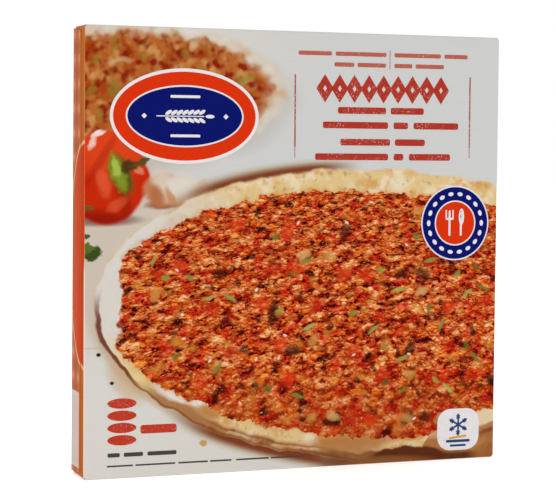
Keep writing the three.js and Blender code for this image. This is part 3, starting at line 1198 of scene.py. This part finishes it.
class CARTON_OT_roundel(bpy.types.Operator):
    """Prints the navy roundel with its white dots, and a fork and a knife on its red middle"""

    bl_idname = "carton.roundel"
    bl_label = "Print the roundel"

    def execute(self, context):
        sizes, colours = properties(context)
        middle = u, v = (84.95, 121.4)
        paper = spot_ink("roundel_white_ink", colours.paper)
        navy = spot_ink("roundel_navy_ink", colours.navy)
        red = spot_ink("roundel_red_ink", colours.red)
        emboss("roundel_edge", add_discs(19.0, 19.0, 72, [middle]), 1, paper, sizes)
        emboss("roundel_ring", add_discs(18.3, 18.3, 72, [middle]), 2, navy, sizes)
        shapes = add_discs(11.5, 11.5, 64, [middle])
        shapes += add_discs(1.0, 1.5, 16, around(middle, 14.9, 18))
        emboss("roundel_dots", shapes, 3, paper, sizes)
        emboss("roundel_heart", add_discs(10.8, 10.8, 64, [middle]), 4, red, sizes)
        shapes = add_bars(1.1, 13, 0.5, [(u - 3.2, v), (u + 3.2, v)])
        shapes += add_bars(0.75, 4.6, 0.3, [(u - 5.1, v + 4.4), (u - 1.3, v + 4.4)])
        shapes += add_bars(4.5, 1.1, 0.4, [(u - 3.2, v + 2.2)])
        shapes += add_discs(1.5, 4.2, 24, [(u + 3.5, v + 3.2)])
        emboss("roundel_cutlery", shapes, 5, paper, sizes)
        return {"FINISHED"}


class CARTON_OT_badge(bpy.types.Operator):
    """Prints the small badge: a navy ice star on white, over an ochre stroke and two plain bars"""

    bl_idname = "carton.badge"
    bl_label = "Print the badge"

    def execute(self, context):
        sizes, colours = properties(context)
        u, v = 88.3, 15.4
        paper = spot_ink("badge_white_ink", colours.paper)
        navy = spot_ink("badge_navy_ink", "#2A4478")
        ochre = spot_ink("badge_ochre_ink", colours.ochre)
        emboss("badge_ground", add_bars(23.6, 21.4, 7, [(u, v)]), 1, paper, sizes)
        star = (u, v + 2.4)
        shapes = add_bars(11.4, 1.0, 0.3, [(*star, turn) for turn in (90, 30, 150)])
        shapes += add_bars(2.6, 0.7, 0.2, [
            (x, y, turn + side * 55) for x, y, turn in around(star, 4.0, 6, 30) for side in (-1, 1)
        ])
        shapes += add_bars(13.5, 1.4, 0.5, [(u, v - 6.0)])
        shapes += add_bars(9.0, 1.1, 0.4, [(u, v - 8.3)])
        emboss("badge_star", shapes, 2, navy, sizes)
        emboss("badge_stroke", add_bars(10, 1.1, 0.5, [(u - 0.2, v - 4.0, 6)]), 2, ochre, sizes)
        return {"FINISHED"}


class CARTON_OT_count(bpy.types.Operator):
    """Prints the stack of four ovals that tells how many breads there are, and the lines beside it"""

    bl_idname = "carton.count"
    bl_label = "Print the count"

    def execute(self, context):
        sizes, colours = properties(context)
        brick = spot_ink("count_brick_ink", "#C03A24", worn=0.4)
        charcoal = spot_ink("count_charcoal_ink", colours.charcoal)
        shapes = add_discs(7.2, 2.5, 40, [(-90.2, 18.4 + 5.9 * k) for k in range(4)])
        shapes += words(((23.2, -81.0, 18.2),), 4.2)
        emboss("count_ovals", shapes, 1, brick, sizes)
        shapes = words(((11.3, -97.2, 6.0, 2.0, 9.6, 2.2, 14.6),), 2.0)
        shapes += words(((6.0, -97.6, 13, 1.2, 20, 1.6, 15, 1.2, 11, 2.4, 17, 1.2, 18),), 0.8)
        emboss("count_lines", shapes, 1, charcoal, sizes)
        return {"FINISHED"}


class CARTON_OT_back_panel(bpy.types.Operator):
    """Prints the back: bars in place of text, a plain table, three cooking signs and a stripe block"""

    bl_idname = "carton.back_panel"
    bl_label = "Print the back"

    def execute(self, context):
        sizes, colours = properties(context)
        charcoal = spot_ink("back_charcoal_ink", colours.charcoal)
        brick = spot_ink("back_brick_ink", colours.brick, worn=0.4)
        paper = spot_ink("back_white_ink", colours.paper)
        shapes = words(((199.5, -60, 48, 5, 62),), 8)
        emboss("back_title", shapes, 1, paper, sizes, on_back=True)

        shapes = words(((174, -98, 34, 3, 22), (174, 10, 28, 3, 30)), 4)
        shapes += add_bars(196, 0.6, 0.2, [(0, 116)])
        emboss("back_headings", shapes, 1, brick, sizes, on_back=True)

        lines = []
        for k in range(9):
            spans = (24 - k % 3 * 4, 1.6, 14 + k % 2 * 9, 1.6, 30 - k % 4 * 3, 1.6, 12)
            lines.append((166 - 5.2 * k, -98, *spans))
            if k < 6:
                lines.append((166 - 5.2 * k, 10, *spans[:6]))
        shapes = words(lines, 1.7)
        for k in range(24):
            shapes += add_bars(0.4 + 0.45 * (k * 5 % 4), 24, 0.1, [(52 + 1.7 * k, 22)])
        emboss("back_text", shapes, 1, charcoal, sizes, on_back=True)

        left, base, width, height, pitch = -98, 16, 60, 92, 7.3
        table = add_bars(width, height, 1, [(left + width / 2, base + height / 2)])
        emboss("back_table", table, 1, paper, sizes, on_back=True)
        rules = [(left + width / 2, base + 6 + pitch * k) for k in range(12)]
        shapes = add_bars(width - 4, 0.35, 0.1, rules)
        for k in range(11):
            up = base + 9.6 + pitch * k
            shapes += add_bars(22 - k % 3 * 4, 1.8, 0.5, [(left + 14 - k % 3 * 2, up)])
            shapes += add_bars(8, 1.8, 0.5, [(left + width - 8, up)])
        emboss("back_table_lines", shapes, 2, charcoal, sizes, on_back=True)

        signs = [(-14, 22), (8, 22), (30, 22)]
        red = spot_ink("back_red_ink", colours.red)
        emboss("back_signs", add_discs(8.5, 8.5, 48, signs), 1, red, sizes, on_back=True)
        shapes = add_bars(9, 6.4, 1, [signs[0]])
        shapes += add_discs(4.6, 4.6, 32, [signs[1]])
        shapes += add_discs(5.2, 2.0, 32, [(30, 19.6)])
        shapes += add_discs(0.7, 2.4, 16, [(30 + 2.6 * k, 24.6) for k in (-1, 0, 1)])
        emboss("back_sign_marks", shapes, 2, paper, sizes, on_back=True)
        return {"FINISHED"}


FLOOR_LEVEL = -0.15 * MM  # just under the base, so that the two don't share a plane
CAMERA_PLACE = (-0.3187, -0.8357, 0.1640)
CAMERA_TURN = (86.375, -0.628, -20.410)  # in degrees
FOCAL_LENGTH = 116.2  # in millimetres, as is the sensor's width
SENSOR_WIDTH = 36.0


class CARTON_OT_stage(bpy.types.Operator):
    """Sets the floor, the even studio light and the camera"""

    bl_idname = "carton.stage"
    bl_label = "Set the stage"

    def execute(self, context):
        bpy.ops.object.select_all(action="DESELECT")
        bpy.ops.mesh.primitive_circle_add(
            vertices=96, radius=6.0, fill_type="NGON", location=(0, 0, FLOOR_LEVEL),
        )
        floor = bpy.context.object
        floor.name = "floor"
        # A translucent white acrylic table, lit a little from below, so that it clips to white
        acrylic = bpy.data.materials.new("lit_white_acrylic_table")
        acrylic.use_nodes = True
        shader = acrylic.node_tree.nodes["Principled BSDF"]
        for name, value in (
            ("Base Color", rgba("#FAFAFA")),
            ("Roughness", 0.9),
            ("Specular IOR Level", 0.1),
            ("Emission Color", rgba("#FFFFFF")),
            ("Emission Strength", 0.4),
        ):
            shader.inputs[name].default_value = value
        floor.data.materials.append(acrylic)

        world = bpy.data.worlds.new("studio")
        context.scene.world = world
        world.use_nodes = True
        background = world.node_tree.nodes["Background"]
        background.inputs["Color"].default_value = rgba("#FFFFFF")
        background.inputs["Strength"].default_value = 1.0
        context.scene.view_settings.view_transform = "Standard"

        camera = bpy.data.objects.new("camera", bpy.data.cameras.new("camera"))
        context.scene.collection.objects.link(camera)
        camera.data.lens = FOCAL_LENGTH
        camera.data.sensor_width = SENSOR_WIDTH
        camera.location = CAMERA_PLACE
        camera.rotation_euler = [math.radians(angle) for angle in CAMERA_TURN]
        context.scene.camera = camera
        return {"FINISHED"}


class CARTON_PT_panel(bpy.types.Panel):
    bl_label = "Carton"
    bl_idname = "CARTON_PT_panel"
    bl_space_type = "VIEW_3D"
    bl_region_type = "UI"
    bl_category = "Carton"

    def draw(self, context):
        for operator in OPERATORS:
            self.layout.operator(operator.bl_idname)


OPERATORS = (
    CARTON_OT_board,
    CARTON_OT_sheets,
    CARTON_OT_label,
    CARTON_OT_wording,
    CARTON_OT_roundel,
    CARTON_OT_badge,
    CARTON_OT_count,
    CARTON_OT_back_panel,
    CARTON_OT_stage,
)
CLASSES = (CartonSizes, CartonColours, *OPERATORS, CARTON_PT_panel)


def register():
    for cls in CLASSES:
        bpy.utils.register_class(cls)
    bpy.types.Scene.carton_sizes = bpy.props.PointerProperty(type=CartonSizes)
    bpy.types.Scene.carton_colours = bpy.props.PointerProperty(type=CartonColours)


def unregister():
    del bpy.types.Scene.carton_colours
    del bpy.types.Scene.carton_sizes
    for cls in reversed(CLASSES):
        bpy.utils.unregister_class(cls)


def main():
    """Builds the carton and its stage."""
    register()
    bpy.ops.carton.board()
    bpy.ops.carton.sheets()
    bpy.ops.carton.label()
    bpy.ops.carton.wording()
    bpy.ops.carton.roundel()
    bpy.ops.carton.badge()
    bpy.ops.carton.count()
    bpy.ops.carton.back_panel()
    bpy.ops.carton.stage()


if __name__ == "__main__":
    main()
